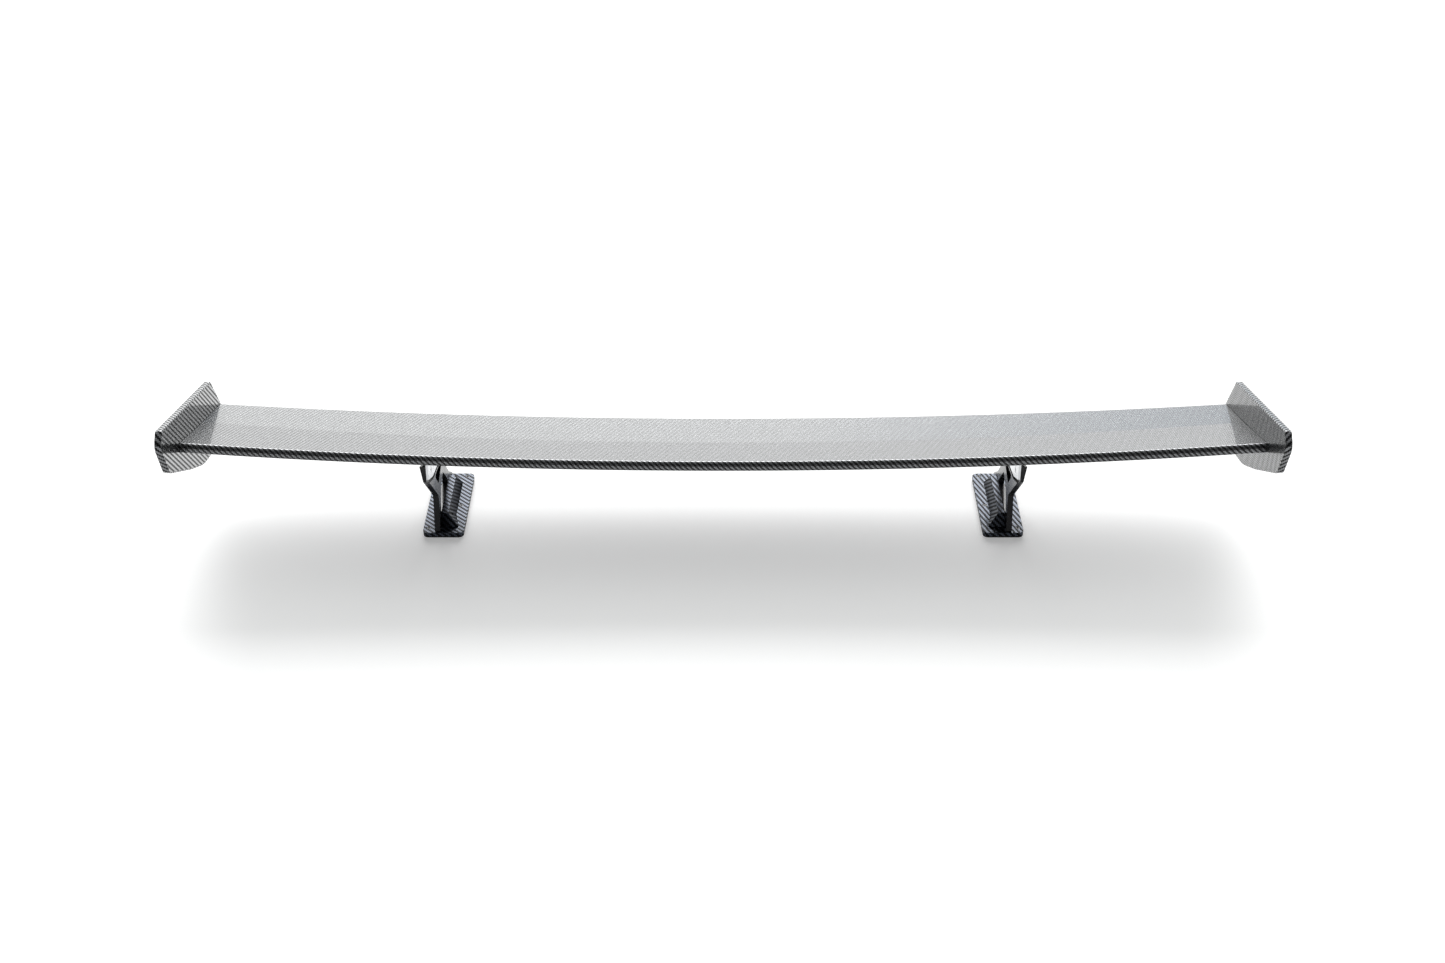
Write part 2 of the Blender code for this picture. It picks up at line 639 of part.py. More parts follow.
def build_foot(label, side, meshes):
    """Gasket, alloy base with its web, carbon cover with its ridge, and the four screws."""
    holes = bmesh.new()
    for number, (x, y) in enumerate(FOOT_SCREWS, 1):
        top = (side * x, y, FOOT_TOP - FIT)
        sunk_hole(holes, top, (0, 0, -1), SCREW_M3, 0.012)
        place(f"foot_screw_{label}_{number}", meshes["foot_screw"], "black_steel", top, (0, 0, 1))
    gasket = to_mesh(plate_xy(foot_outline(side, 0.0004), 0.0, GASKET_T), "foot_gasket")
    gasket = add_object(f"foot_gasket_{label}", gasket, "rubber")
    carve(gasket, holes.copy())

    base_low = GASKET_T + FIT
    base = to_mesh(plate_xy(foot_outline(side, COVER_WALL + FIT), base_low, base_low + BASE_T), "foot_base")
    base = add_object(f"foot_base_{label}", base, "black_alloy")
    web = [(BASE_WEB_Y[0], base_low + 0.001, 0), (BASE_WEB_Y[0], 0.0198, 0.004),
           (BASE_WEB_Y[1], 0.0198, 0.004), (BASE_WEB_Y[1], base_low + 0.001, 0)]
    carve(base, plate_yz(fillet(web), side * BASE_WEB_X[0], side * BASE_WEB_X[1]), "UNION")
    base_holes = holes.copy()
    for y in RAIL_BOLT_Y:
        turned_cutter(base_holes, (side * BASE_WEB_X[0], y, RAIL_BOLT_Z), (side, 0, 0),
                      [(BOLT_M5[0] + FIT, -0.003), (BOLT_M5[0] + FIT, 0.008)])
    carve(base, base_holes)

    cover = to_mesh(plate_xy(foot_outline(side, 0.0), base_low, FOOT_TOP), "foot_cover")
    cover = add_object(f"foot_cover_{label}", cover, "carbon")
    carve(cover, ridge(side, 0.0, base_low + 0.001), "UNION")
    ceiling = base_low + BASE_T + FIT
    carve(cover, plate_xy(foot_outline(side, COVER_WALL), base_low - 0.002, ceiling))
    carve(cover, ridge(side, COVER_WALL - FIT, base_low + 0.001))
    for y in RAIL_BOLT_Y:
        turned_cutter(holes, (side * (UPRIGHT_IN - 0.004), y, RAIL_BOLT_Z), (side, 0, 0),
                      [(BOLT_M5[0] + FIT, 0.0), (BOLT_M5[0] + FIT, 0.008)])
    carve(cover, holes)
    chamfer(cover, 0.0005)


def main():
    """Build the stand, then the wing on its incidence axis."""
    clear_scene()
    axis = bpy.data.objects.new("incidence_axis", None)
    bpy.context.collection.objects.link(axis)
    axis.location = (0.0, PIVOT_Y, PIVOT_Z)

    meshes = {
        "endplate_screw": sunk_screw("endplate_screw", SCREW_M4, 0.018),
        "bracket_screw": button_bolt("bracket_screw", SCREW_M4, 0.013),
        "foot_screw": sunk_screw("foot_screw", SCREW_M3, 0.0062),
        "clamp_bolt": sunk_screw("clamp_bolt", SCREW_M4, 0.0092),
        "pivot_bolt": button_bolt("pivot_bolt", BOLT_M8, PIVOT_FLOOR + 0.0070 - WEB_IN),
        "upright_bolt": sunk_screw("upright_bolt", BOLT_M5, 0.0125),
        "clamp_nut": nut("clamp_nut", SCREW_M4[0], CLAMP_NUT_HALF, 0.0026),
        "pivot_nut": nut("pivot_nut", BOLT_M8[0], PIVOT_NUT_HALF, 0.0062),
    }
    for label, side in SIDES.items():
        build_foot(label, side, meshes)
        build_upright(label, side, meshes)
    build_skins(axis)
    build_spars(axis)
    for label, side in SIDES.items():
        build_wing_side(label, side, axis, meshes)


main()
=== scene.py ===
"""Looks of the racing rear wing: fine surfaces, finishes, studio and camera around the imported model."""

import logging
import math
from dataclasses import dataclass, field
from enum import Enum
from functools import lru_cache
from typing import Callable, Sequence

import bmesh
import bpy
import numpy as np
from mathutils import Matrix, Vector
from mathutils.geometry import delaunay_2d_cdt


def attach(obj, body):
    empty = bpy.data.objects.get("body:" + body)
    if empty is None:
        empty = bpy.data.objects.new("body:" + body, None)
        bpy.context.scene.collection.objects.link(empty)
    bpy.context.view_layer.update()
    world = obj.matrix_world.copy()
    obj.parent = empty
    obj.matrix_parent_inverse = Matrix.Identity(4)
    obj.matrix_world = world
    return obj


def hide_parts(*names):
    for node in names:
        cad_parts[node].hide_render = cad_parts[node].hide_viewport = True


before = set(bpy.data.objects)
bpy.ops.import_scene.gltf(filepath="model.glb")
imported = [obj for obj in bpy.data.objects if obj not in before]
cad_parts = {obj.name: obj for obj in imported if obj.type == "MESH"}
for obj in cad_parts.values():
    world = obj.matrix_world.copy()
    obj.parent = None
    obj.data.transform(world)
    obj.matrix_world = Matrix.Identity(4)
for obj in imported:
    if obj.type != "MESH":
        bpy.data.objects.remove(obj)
LOG = logging.getLogger("rear_wing")

Array = np.ndarray
Colour = tuple[float, float, float]
MERGE_DISTANCE = 2e-6
FLAT_ANGLE = math.radians(0.5)
EDGE_ANGLE = math.radians(25)


class Side(Enum):
    """The two ends of the wing, as the sign of X."""

    LEFT = -1
    RIGHT = 1

    @property
    def label(self) -> str:
        """Word that ends this side's node names."""
        return self.name.lower()


class Body(Enum):
    """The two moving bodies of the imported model."""

    STAND = "stand"
    WING = "wing"


# --- node wiring
class NodeSketch:
    """A node tree with short calls for adding and joining nodes."""

    def __init__(self, tree: bpy.types.NodeTree) -> None:
        """Start from an existing tree."""
        self.tree = tree

    def add(self, kind: str, **settings: object) -> bpy.types.Node:
        """Add a node and set its properties.

        Args:
            kind: Blender's identifier of the node type.
            settings: Property names and values.

        Returns:
            The new node.
        """
        node = self.tree.nodes.new(kind)
        for name, value in settings.items():
            setattr(node, name, value)
        return node

    def feed(self, socket: bpy.types.NodeSocket, value: object) -> None:
        """Join a socket to another socket, or set its constant.

        Args:
            socket: The input.
            value: A socket to join to it, or its constant.
        """
        if isinstance(value, bpy.types.NodeSocket):
            self.tree.links.new(value, socket)
        else:
            socket.default_value = value

    def math(self, operation: str, *values: object) -> bpy.types.NodeSocket:
        """Add a Math node.

        Args:
            operation: Name of the operation.
            values: Sockets or numbers for its inputs.

        Returns:
            The result's socket.
        """
        node = self.add("ShaderNodeMath", operation=operation)
        for socket, value in zip(node.inputs, values):
            self.feed(socket, value)
        return node.outputs[0]

    def pick(self, mask: object, low: object, high: object) -> bpy.types.NodeSocket:
        """Blend two numbers.

        Args:
            mask: Share of the second.
            low: The first.
            high: The second.

        Returns:
            The result's socket.
        """
        node = self.add("ShaderNodeMix", data_type="FLOAT")
        self.feed(node.inputs[0], mask)
        self.feed(node.inputs[2], low)
        self.feed(node.inputs[3], high)
        return node.outputs[0]

    def tint(self, mask: object, low: object, high: object, blend: str = "MIX") -> bpy.types.NodeSocket:
        """Blend two colours.

        Args:
            mask: Share of the second.
            low: The first.
            high: The second.
            blend: Name of the blend.

        Returns:
            The result's socket.
        """
        node = self.add("ShaderNodeMix", data_type="RGBA", blend_type=blend)
        self.feed(node.inputs[0], mask)
        for socket, value in ((node.inputs[6], low), (node.inputs[7], high)):
            self.feed(socket, (*value, 1.0) if isinstance(value, tuple) else value)
        return node.outputs[2]

    def span(self, value: object, low: float, high: float, to_low: float, to_high: float) -> bpy.types.NodeSocket:
        """Map a value from one range onto another, clamped.

        Args:
            value: The value.
            low: Start of its range.
            high: End of its range.
            to_low: Result at the start.
            to_high: Result at the end.

        Returns:
            The result's socket.
        """
        node = self.add("ShaderNodeMapRange")
        for socket, number in zip(node.inputs, (value, low, high, to_low, to_high)):
            self.feed(socket, number)
        return node.outputs[0]

    def noise(self, vector: object, scale: float, detail: float = 2.0) -> bpy.types.NodeSocket:
        """Add a noise texture.

        Args:
            vector: Place.
            scale: Features per unit of the vector.
            detail: Octaves.

        Returns:
            The socket of its value.
        """
        node = self.add("ShaderNodeTexNoise")
        self.feed(node.inputs["Vector"], vector)
        node.inputs["Scale"].default_value = scale
        node.inputs["Detail"].default_value = detail
        return node.outputs["Fac"]

    def group(self, tree: bpy.types.NodeTree, **inputs: object) -> bpy.types.Node:
        """Place a shared effect.

        Args:
            tree: The effect's node group.
            inputs: Sockets or constants for its inputs.

        Returns:
            The new node.
        """
        node = self.add("ShaderNodeGroup", node_tree=tree)
        for name, value in inputs.items():
            self.feed(node.inputs[name], value)
        return node


def new_effect(name: str, inputs: dict[str, str], outputs: Sequence[str]) -> tuple[NodeSketch, dict, dict]:
    """Start a shared shader node group.

    Args:
        name: Name of the group.
        inputs: Input names and socket types.
        outputs: Names of the float outputs.

    Returns:
        The group's sketch, its input sockets by name and its output sockets by name.
    """
    tree = bpy.data.node_groups.new(name, "ShaderNodeTree")
    for label, kind in inputs.items():
        tree.interface.new_socket(label, in_out="INPUT", socket_type=kind)
    for label in outputs:
        tree.interface.new_socket(label, in_out="OUTPUT", socket_type="NodeSocketFloat")
    sketch = NodeSketch(tree)
    start, end = sketch.add("NodeGroupInput"), sketch.add("NodeGroupOutput")
    return sketch, {s.name: s for s in start.outputs}, {s.name: s for s in end.inputs}


@lru_cache(maxsize=None)
def twill_effect() -> bpy.types.NodeTree:
    """Two-by-two twill on a vector in metres.

    Cell (i, j) shows the warp where (i + j) modulo 4 is under 2. A tow is a half sine across its width and
    rises and falls by a half sine along the two cells that it floats over.

    Returns:
        The group, with outputs Warp (0 or 1), Height (0 to 1) and Fibre (0 to 1, streaks along the tow).
    """
    kinds = {"Vector": "NodeSocketVector", "Tow": "NodeSocketFloat"}
    sketch, given, out = new_effect("twill weave", kinds, ("Warp", "Height", "Fibre"))
    split = sketch.add("ShaderNodeSeparateXYZ")
    sketch.feed(split.inputs[0], given["Vector"])
    u, v = (sketch.math("DIVIDE", split.outputs[axis], given["Tow"]) for axis in (0, 1))
    row = sketch.math("ADD", sketch.math("FLOOR", u), sketch.math("FLOOR", v))
    phase = sketch.math("FLOORED_MODULO", row, 4.0)
    warp = sketch.math("LESS_THAN", phase, 1.5)
    fu, fv = sketch.math("FRACT", u), sketch.math("FRACT", v)
    across = sketch.pick(warp, fv, fu)
    floated = sketch.pick(warp, sketch.math("ADD", sketch.math("SUBTRACT", phase, 2.0), fu),
                          sketch.math("ADD", phase, fv))
    ridge = sketch.math("POWER", sketch.math("SINE", sketch.math("MULTIPLY", across, math.pi)), 0.5)
    arch = sketch.math("SINE", sketch.math("MULTIPLY", floated, math.pi / 2))
    crown = sketch.math("MULTIPLY_ADD", arch, 0.45, 0.55)
    streak = sketch.add("ShaderNodeCombineXYZ")
    sketch.feed(streak.inputs[0], sketch.math("MULTIPLY", sketch.pick(warp, v, u), 9.0))
    sketch.feed(streak.inputs[1], sketch.math("MULTIPLY", sketch.pick(warp, u, v), 0.35))
    sketch.feed(streak.inputs[2], sketch.math("MULTIPLY", warp, 7.3))
    sketch.feed(out["Warp"], warp)
    sketch.feed(out["Height"], sketch.math("MULTIPLY", ridge, crown))
    sketch.feed(out["Fibre"], sketch.noise(streak.outputs[0], 1.0, 3.0))
    return sketch.tree


@lru_cache(maxsize=None)
def handling_effect() -> bpy.types.NodeTree:
    """Uneven gloss from handling: broad smears and fine dust on a vector in metres.

    Returns:
        The group, with outputs Smear and Dust, both 0 to 1.
    """
    sketch, given, out = new_effect("handling marks", {"Vector": "NodeSocketVector"}, ("Smear", "Dust"))
    smear = sketch.noise(given["Vector"], 22.0, 3.0)
    dust = sketch.noise(given["Vector"], 900.0, 2.0)
    sketch.feed(out["Smear"], sketch.span(smear, 0.35, 0.7, 0.0, 1.0))
    sketch.feed(out["Dust"], sketch.span(dust, 0.62, 0.78, 0.0, 1.0))
    return sketch.tree


@lru_cache(maxsize=None)
def grain_effect() -> bpy.types.NodeTree:
    """Fine surface grain on a vector that is already stretched to the grain's shape.

    Returns:
        The group, with outputs Height and Speck, both 0 to 1.
    """
    sketch, given, out = new_effect("surface grain", {"Vector": "NodeSocketVector"}, ("Height", "Speck"))
    coarse, fine = sketch.noise(given["Vector"], 1.0, 2.0), sketch.noise(given["Vector"], 4.1, 3.0)
    sketch.feed(out["Height"], sketch.pick(0.45, coarse, fine))
    sketch.feed(out["Speck"], sketch.span(fine, 0.55, 0.75, 0.0, 1.0))
    return sketch.tree


# --- finishes
@dataclass(frozen=True)
class Finish:
    """A surface finish. Subclasses wire the nodes that vary its colour, roughness and height."""

    name: str
    slot: str
    dark: Colour
    # on carbon finishes light is the painted sheen of the warp tows; on grained finishes it is the colour of specks and
    # smears
    light: Colour
    roughness: tuple[float, float] = (0.3, 0.4)
    metallic: float = 0.0
    specular: float = 0.5
    coat: float = 0.0
    coat_roughness: float = 0.03
    coat_ior: float = 1.5
    relief: float = 0.00002

    @lru_cache(maxsize=None)
    def material(self) -> bpy.types.Material:
        """Build the material once.

        Returns:
            The material, with constants on the shader's own sockets.
        """
        material = bpy.data.materials.new(self.name)
        material.use_nodes = True
        material.node_tree.nodes.clear()
        sketch = NodeSketch(material.node_tree)
        shader = sketch.add("ShaderNodeBsdfPrincipled")
        output = sketch.add("ShaderNodeOutputMaterial")
        sketch.feed(output.inputs["Surface"], shader.outputs["BSDF"])
        constants = {"Metallic": self.metallic, "Specular IOR Level": self.specular, "Coat Weight": self.coat,
                     "Coat Roughness": self.coat_roughness, "Coat IOR": self.coat_ior}
        for name, value in constants.items():
            shader.inputs[name].default_value = value
        varied = self.pattern(sketch)
        bump = sketch.add("ShaderNodeBump")
        bump.inputs["Distance"].default_value = self.relief
        sketch.feed(bump.inputs["Height"], varied.pop("Height"))
        sketch.feed(shader.inputs["Normal"], bump.outputs["Normal"])
        for name, socket in varied.items():
            sketch.feed(shader.inputs[name], socket)
        return material

    def pattern(self, sketch: NodeSketch) -> dict[str, bpy.types.NodeSocket]:
        """Wire the finish's own pattern.

        Args:
            sketch: The material's node tree.

        Returns:
            What varies over the surface, by the shader's input name, with the bump's Height.
        """
        raise NotImplementedError


@dataclass(frozen=True)
class TwillCarbon(Finish):
    """Carbon cloth in two-by-two twill under a clear coat, laid along the piece's UV map in metres."""

    tow: float = 0.0020
    weft_coat: float = 0.5

    def pattern(self, sketch: NodeSketch) -> dict[str, bpy.types.NodeSocket]:
        """Warp tows carry painted sheen as a lighter colour than the dark weft and are metallic and glossy, with
        streaks of fibre along each and painted shade on the low edges of the tows.

        Args:
            sketch: The material's node tree.

        Returns:
            What varies over the surface, by the shader's input name, with the bump's Height.
        """
        place = sketch.add("ShaderNodeTexCoord")
        weave = sketch.group(twill_effect(), Vector=place.outputs["UV"], Tow=self.tow)
        marks = sketch.group(handling_effect(), Vector=place.outputs["Object"])
        fibre = sketch.span(weave.outputs["Fibre"], 0.3, 0.7, 0.72, 1.12)
        # painted sheen: the warp tows take the lighter colour in place of the light they catch
        weave_with_painted_sheen = sketch.tint(weave.outputs["Warp"], self.dark, self.light)
        # painted shade: the low edges of each tow, where it dips beside and under its neighbours, are darkened along
        # with the fibre streaks
        streaks_and_crease_shade = sketch.math("MULTIPLY", fibre, sketch.span(weave.outputs["Height"], 0.0, 0.7, 0.35, 1.0))
        shade = sketch.add("ShaderNodeCombineColor")
        for socket in shade.inputs[:3]:
            sketch.feed(socket, streaks_and_crease_shade)
        colour = sketch.tint(1.0, weave_with_painted_sheen, shade.outputs[0], "MULTIPLY")
        low, high = self.roughness
        base = sketch.pick(weave.outputs["Warp"], high, low)
        warp = weave.outputs["Warp"]
        return {"Base Color": colour, "Height": weave.outputs["Height"],
                "Roughness": sketch.math("MULTIPLY_ADD", marks.outputs["Smear"], 0.02, base),
                "Metallic": sketch.math("MULTIPLY", warp, self.metallic),
                "Coat Weight": sketch.pick(warp, self.coat * self.weft_coat, self.coat)}


@dataclass(frozen=True)
class GrainedFinish(Finish):
    """Metal, rubber or board with a fine grain, stretched along the axes by its size."""

    grain: tuple[float, float, float] = (0.0006, 0.0006, 0.0006)
    speck: float = 0.15

    def pattern(self, sketch: NodeSketch) -> dict[str, bpy.types.NodeSocket]:
        """Grain sets the height, specks and smears vary the colour and the gloss.

        Args:
            sketch: The material's node tree.

        Returns:
            What varies over the surface, by the shader's input name, with the bump's Height.
        """
        place = sketch.add("ShaderNodeTexCoord")
        stretch = sketch.add("ShaderNodeMapping")
        sketch.feed(stretch.inputs["Vector"], place.outputs["Object"])
        stretch.inputs["Scale"].default_value = tuple(1.0 / size for size in self.grain)
        grain = sketch.group(grain_effect(), Vector=stretch.outputs["Vector"])
        marks = sketch.group(handling_effect(), Vector=place.outputs["Object"])
        specks = sketch.math("MULTIPLY", grain.outputs["Speck"], self.speck)
        tone = sketch.math("ADD", specks, sketch.math("MULTIPLY", marks.outputs["Smear"], 0.12))
        colour = sketch.tint(tone, self.dark, self.light)
        low, high = self.roughness
        varied = sketch.span(marks.outputs["Smear"], 0.0, 1.0, low, high)
        roughness = sketch.math("MULTIPLY_ADD", marks.outputs["Dust"], 0.08, varied)
        return {"Base Color": colour, "Roughness": roughness, "Height": grain.outputs["Height"]}


class Finishes:
    """Every finish on the wing."""

    # the light colour of each carbon finish is painted sheen on its warp tows
    WING_CARBON = TwillCarbon(
        "clear-coated wing carbon", "carbon", (0.0025, 0.0026, 0.003), (0.15, 0.154, 0.162), (0.24, 0.4),
        metallic=0.9, specular=0.06, coat=0.85, coat_roughness=0.012, coat_ior=1.42, relief=0.00006, tow=0.0016,
        weft_coat=0.65)
    PLATE_CARBON = TwillCarbon(
        "clear-coated endplate carbon", "carbon", (0.0025, 0.0026, 0.003), (0.15, 0.154, 0.162), (0.24, 0.4),
        metallic=0.9, specular=0.06, coat=1.0, coat_roughness=0.012, coat_ior=1.42, relief=0.00006, weft_coat=0.1)
    FOOT_CARBON = TwillCarbon(
        "foot cover carbon", "carbon", (0.003, 0.0033, 0.004), (0.06, 0.069, 0.088), (0.34, 0.5),
        metallic=0.9, specular=0.05, coat=0.12, coat_roughness=0.05, coat_ior=1.35, relief=0.00007, weft_coat=0.1)
    SPAR_CARBON = TwillCarbon(
        "bare spar carbon", "carbon", (0.012, 0.012, 0.013), (0.05, 0.05, 0.053), (0.4, 0.55),
        metallic=0.5, specular=0.4, relief=0.0001)
    BLACK_ALLOY = GrainedFinish(
        "satin black anodised alloy", "black_alloy", (0.005, 0.0053, 0.006), (0.022, 0.023, 0.025), (0.17, 0.27),
        specular=0.22, relief=0.00001, grain=(0.0005, 0.0005, 0.0005))
    SILVER_ALLOY = GrainedFinish(
        "brushed clear anodised alloy", "silver_alloy", (0.62, 0.63, 0.65), (0.88, 0.88, 0.88), (0.26, 0.38),
        metallic=1.0, relief=0.00001, grain=(0.0004, 0.006, 0.0004), speck=0.7)
    ZINC = GrainedFinish(
        "zinc-plated steel", "silver_alloy", (0.50, 0.50, 0.49), (0.72, 0.72, 0.70), (0.28, 0.42),
        metallic=1.0, relief=0.000008, grain=(0.0004, 0.0004, 0.0004))
    BLACK_STEEL = GrainedFinish(
        "black oxide steel", "black_steel", (0.012, 0.012, 0.013), (0.06, 0.058, 0.055), (0.3, 0.45),
        metallic=0.6, relief=0.000008, grain=(0.0003, 0.0003, 0.0003))
    BOARD = GrainedFinish(
        "tooling board", "core", (0.60, 0.55, 0.40), (0.72, 0.68, 0.52), (0.75, 0.9),
        specular=0.2, relief=0.00005, grain=(0.0008, 0.0008, 0.0008), speck=0.5)
    RUBBER = GrainedFinish(
        "matt sheet rubber", "rubber", (0.012, 0.012, 0.012), (0.035, 0.035, 0.034), (0.75, 0.92),
        specular=0.3, relief=0.00004, grain=(0.0007, 0.0007, 0.0007), speck=0.4)


# --- surfaces
@dataclass
class Shell:
    """Patches of surface in metres that are joined into one closed mesh."""

    name: str
    points: list[Array] = field(default_factory=list)
    faces: list[Array] = field(default_factory=list)
    uvs: list[Array] = field(default_factory=list)

    def add_patch(self, points: Array, faces: Array, uv: Array) -> None:
        """Add a patch.

        Args:
            points: Vertices, (n, 3).
            faces: Faces that number them, (m, 3 or 4).
            uv: UVs of the vertices in metres, (n, 2).
        """
        start = sum(len(part) for part in self.points)
        self.points.append(points)
        self.faces.append(faces + start)
        self.uvs.append(uv)

    def add_grid(self, points: Array, uv: Array) -> None:
        """Add a surface given as a function of two parameters on a grid.

        Args:
            points: Places, with shape (rows, columns, 3). Rows or columns that meet are merged later.
            uv: UV map in metres, with shape (rows, columns, 2).
        """
        rows, columns = points.shape[:2]
        corner = (np.arange(rows - 1)[:, None] * columns + np.arange(columns - 1)).ravel()
        quads = np.stack([corner, corner + 1, corner + columns + 1, corner + columns], axis=1)
        self.add_patch(points.reshape(-1, 3), quads, np.asarray(uv, float).reshape(-1, 2))

    def add_flat(self, outer: Array, holes: Sequence[Array], lift: Callable[[Array], Array],
                 to_uv: Callable[[Array], Array]) -> None:
        """Fill the space between closed outlines with triangles.

        Args:
            outer: Outer outline, (n, 2), anticlockwise.
            holes: Outlines of the holes in it.
            lift: Turns flat places (n, 2) into points (n, 3).
            to_uv: Turns flat places (n, 2) into UVs (n, 2).
        """
        loops = [outer, *holes]
        flat = np.concatenate(loops)
        edges, start = [], 0
        for loop in loops:
            ids = np.arange(len(loop)) + start
            edges += np.stack([ids, np.roll(ids, -1)], axis=1).tolist()
            start += len(loop)
        verts, _, triangles, *_ = delaunay_2d_cdt([Vector(p) for p in flat], edges, [], 0, 1e-7)
        verts, triangles = np.array([tuple(p) for p in verts]), np.array(triangles)
        centres = verts[triangles].mean(axis=1)
        kept = inside(centres, outer)
        for hole in holes:
            kept &= ~inside(centres, hole)
        self.add_patch(lift(verts), triangles[kept], to_uv(verts))

    def build(self, finish: Finish, body: Body, stands_for: Sequence[str], sharp: float = 32.0) -> bpy.types.Object:
        """Join the patches and place the piece on its body.

        Args:
            finish: The piece's finish.
            body: The body that it moves with.
            stands_for: CAD nodes that it replaces.
            sharp: Angle in degrees above which an edge stays sharp.

        Returns:
            The finished object.
        """
        faces = [face for part in self.faces for face in part.tolist()]
        mesh = bpy.data.meshes.new(self.name)
        mesh.from_pydata(np.concatenate(self.points).tolist(), [], faces)
        uv = np.concatenate(self.uvs)[np.concatenate([part.ravel() for part in self.faces])]
        mesh.uv_layers.new(name="UVMap").uv.foreach_set("vector", uv.ravel().astype(np.float32))
        close_mesh(mesh, sharp)
        piece = bpy.data.objects.new(self.name, mesh)
        return dress(piece, finish, body, stands_for)


def inside(places: Array, outline: Array) -> Array:
    """Even-odd test of places against a closed outline.

    Args:
        places: Places, (n, 2).
        outline: The outline, (m, 2).

    Returns:
        True for each place that an odd number of the outline's edges lies to the right of.
    """
    x, y = places[:, 0, None], places[:, 1, None]
    x0, y0 = outline.T
    x1, y1 = np.roll(outline, -1, axis=0).T
    spans = (y0 > y) != (y1 > y)
    rise = np.where(y1 == y0, 1.0, y1 - y0)
    return (np.sum(spans & (x < x0 + (y - y0) * (x1 - x0) / rise), axis=1) % 2).astype(bool)


def close_mesh(mesh: bpy.types.Mesh, sharp: float) -> None:
    """Merge meeting vertices, point the faces outwards and smooth all but the sharp edges.

    Args:
        mesh: The mesh to change.
        sharp: Angle in degrees above which an edge stays sharp.
    """
    bm = bmesh.new()
    bm.from_mesh(mesh)
    bmesh.ops.remove_doubles(bm, verts=bm.verts, dist=MERGE_DISTANCE)
    bmesh.ops.dissolve_degenerate(bm, dist=1e-7, edges=bm.edges)
    bmesh.ops.recalc_face_normals(bm, faces=bm.faces)
    open_edges = sum(not edge.is_manifold for edge in bm.edges)
    bm.to_mesh(mesh)
    bm.free()
    if open_edges:
        LOG.warning("%s has %d open edges", mesh.name, open_edges)
    mesh.shade_smooth()
    mesh.set_sharp_from_angle(angle=math.radians(sharp))


def dress(piece: bpy.types.Object, finish: Finish, body: Body, stands_for: Sequence[str]) -> bpy.types.Object:
    """Link a piece, give it its finish, and let it ride on its body in place of its CAD nodes.

    Args:
        piece: The new piece.
        finish: Its finish.
        body: The body that it moves with.
        stands_for: CAD nodes that it replaces.

    Returns:
        The piece.
    """
    bpy.context.scene.collection.objects.link(piece)
    piece.data.materials.clear()
    piece.data.materials.append(finish.material())
    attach(piece, body.value)
    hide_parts(*stands_for)
    LOG.info("%s: %d faces", piece.name, len(piece.data.polygons))
    return piece


def softened(node: str, name: str, finish: Finish, body: Body, width: float,
             unwrap: Callable[[Array, Array], Array] | None = None) -> bpy.types.Object:
    """Copy a CAD node, merge it and round its edges.

    Args:
        node: The CAD node that the piece stands for.
        name: Name of the new piece.
        finish: Its finish.
        body: The body that it moves with.
        width: Width of the rounding in metres.
        unwrap: Turns corner places (n, 3) and face normals (n, 3) into UVs (n, 2).

    Returns:
        The finished object.
    """
    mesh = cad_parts[node].data.copy()
    mesh.name = name
    bm = bmesh.new()
    bm.from_mesh(mesh)
    bmesh.ops.remove_doubles(bm, verts=bm.verts, dist=MERGE_DISTANCE)
    bmesh.ops.dissolve_limit(bm, angle_limit=FLAT_ANGLE, verts=bm.verts, edges=bm.edges)
    bm.to_mesh(mesh)
    bm.free()
    mesh.shade_smooth()
    mesh.set_sharp_from_angle(angle=EDGE_ANGLE)
    if unwrap is not None:
        corners = np.array([mesh.vertices[loop.vertex_index].co for loop in mesh.loops])
        normals = np.repeat(np.array([face.normal for face in mesh.polygons]),
                            [face.loop_total for face in mesh.polygons], axis=0)
        layer = mesh.uv_layers.new(name="UVMap") if not mesh.uv_layers else mesh.uv_layers[0]
        layer.uv.foreach_set("vector", unwrap(corners, normals).ravel().astype(np.float32))
    piece = bpy.data.objects.new(name, mesh)
    bevel = piece.modifiers.new("rounded edges", "BEVEL")
    bevel.width, bevel.segments, bevel.limit_method = width, 2, "ANGLE"
    bevel.angle_limit, bevel.harden_normals = EDGE_ANGLE, True
    return dress(piece, finish, body, [node])


def fillet(corners: Sequence[tuple[float, float, float]], steps: int = 8) -> Array:
    """Round the corners of a polygon.

    Args:
        corners: (x, y, radius) of each corner, in order.
        steps: Segments in each round.

    Returns:
        The closed outline, (n, 2): at each corner an arc that touches both edges.
    """
    places = np.array(corners)
    outline = []
    for before, here, after in zip(np.roll(places, 1, 0), places, np.roll(places, -1, 0)):
        a, b = before[:2] - here[:2], after[:2] - here[:2]
        a, b = a / np.linalg.norm(a), b / np.linalg.norm(b)
        half = math.acos(float(np.clip(a @ b, -1, 1))) / 2
        bisector = (a + b) / np.linalg.norm(a + b)
        centre = here[:2] + bisector * here[2] / math.sin(half)
        start, end = (here[:2] + way * here[2] / math.tan(half) - centre for way in (a, b))
        first = math.atan2(start[1], start[0])
        turn = (math.atan2(end[1], end[0]) - first + math.pi) % (2 * math.pi) - math.pi
        angles = first + turn * np.linspace(0, 1, steps + 1)
        outline.append(centre + here[2] * np.stack([np.cos(angles), np.sin(angles)], axis=1))
    return np.concatenate(outline)


def resampled(outline: Array, spacing: float) -> Array:
    """Add points to a closed outline, evenly along each edge.

    Args:
        outline: The outline, (n, 2).
        spacing: Greatest length of an edge.

    Returns:
        The finer outline.
    """
    parts = []
    for start, end in zip(outline, np.roll(outline, -1, 0)):
        count = max(1, math.ceil(np.linalg.norm(end - start) / spacing))
        parts.append(start + (end - start) * (np.arange(count) / count)[:, None])
    return np.concatenate(parts)


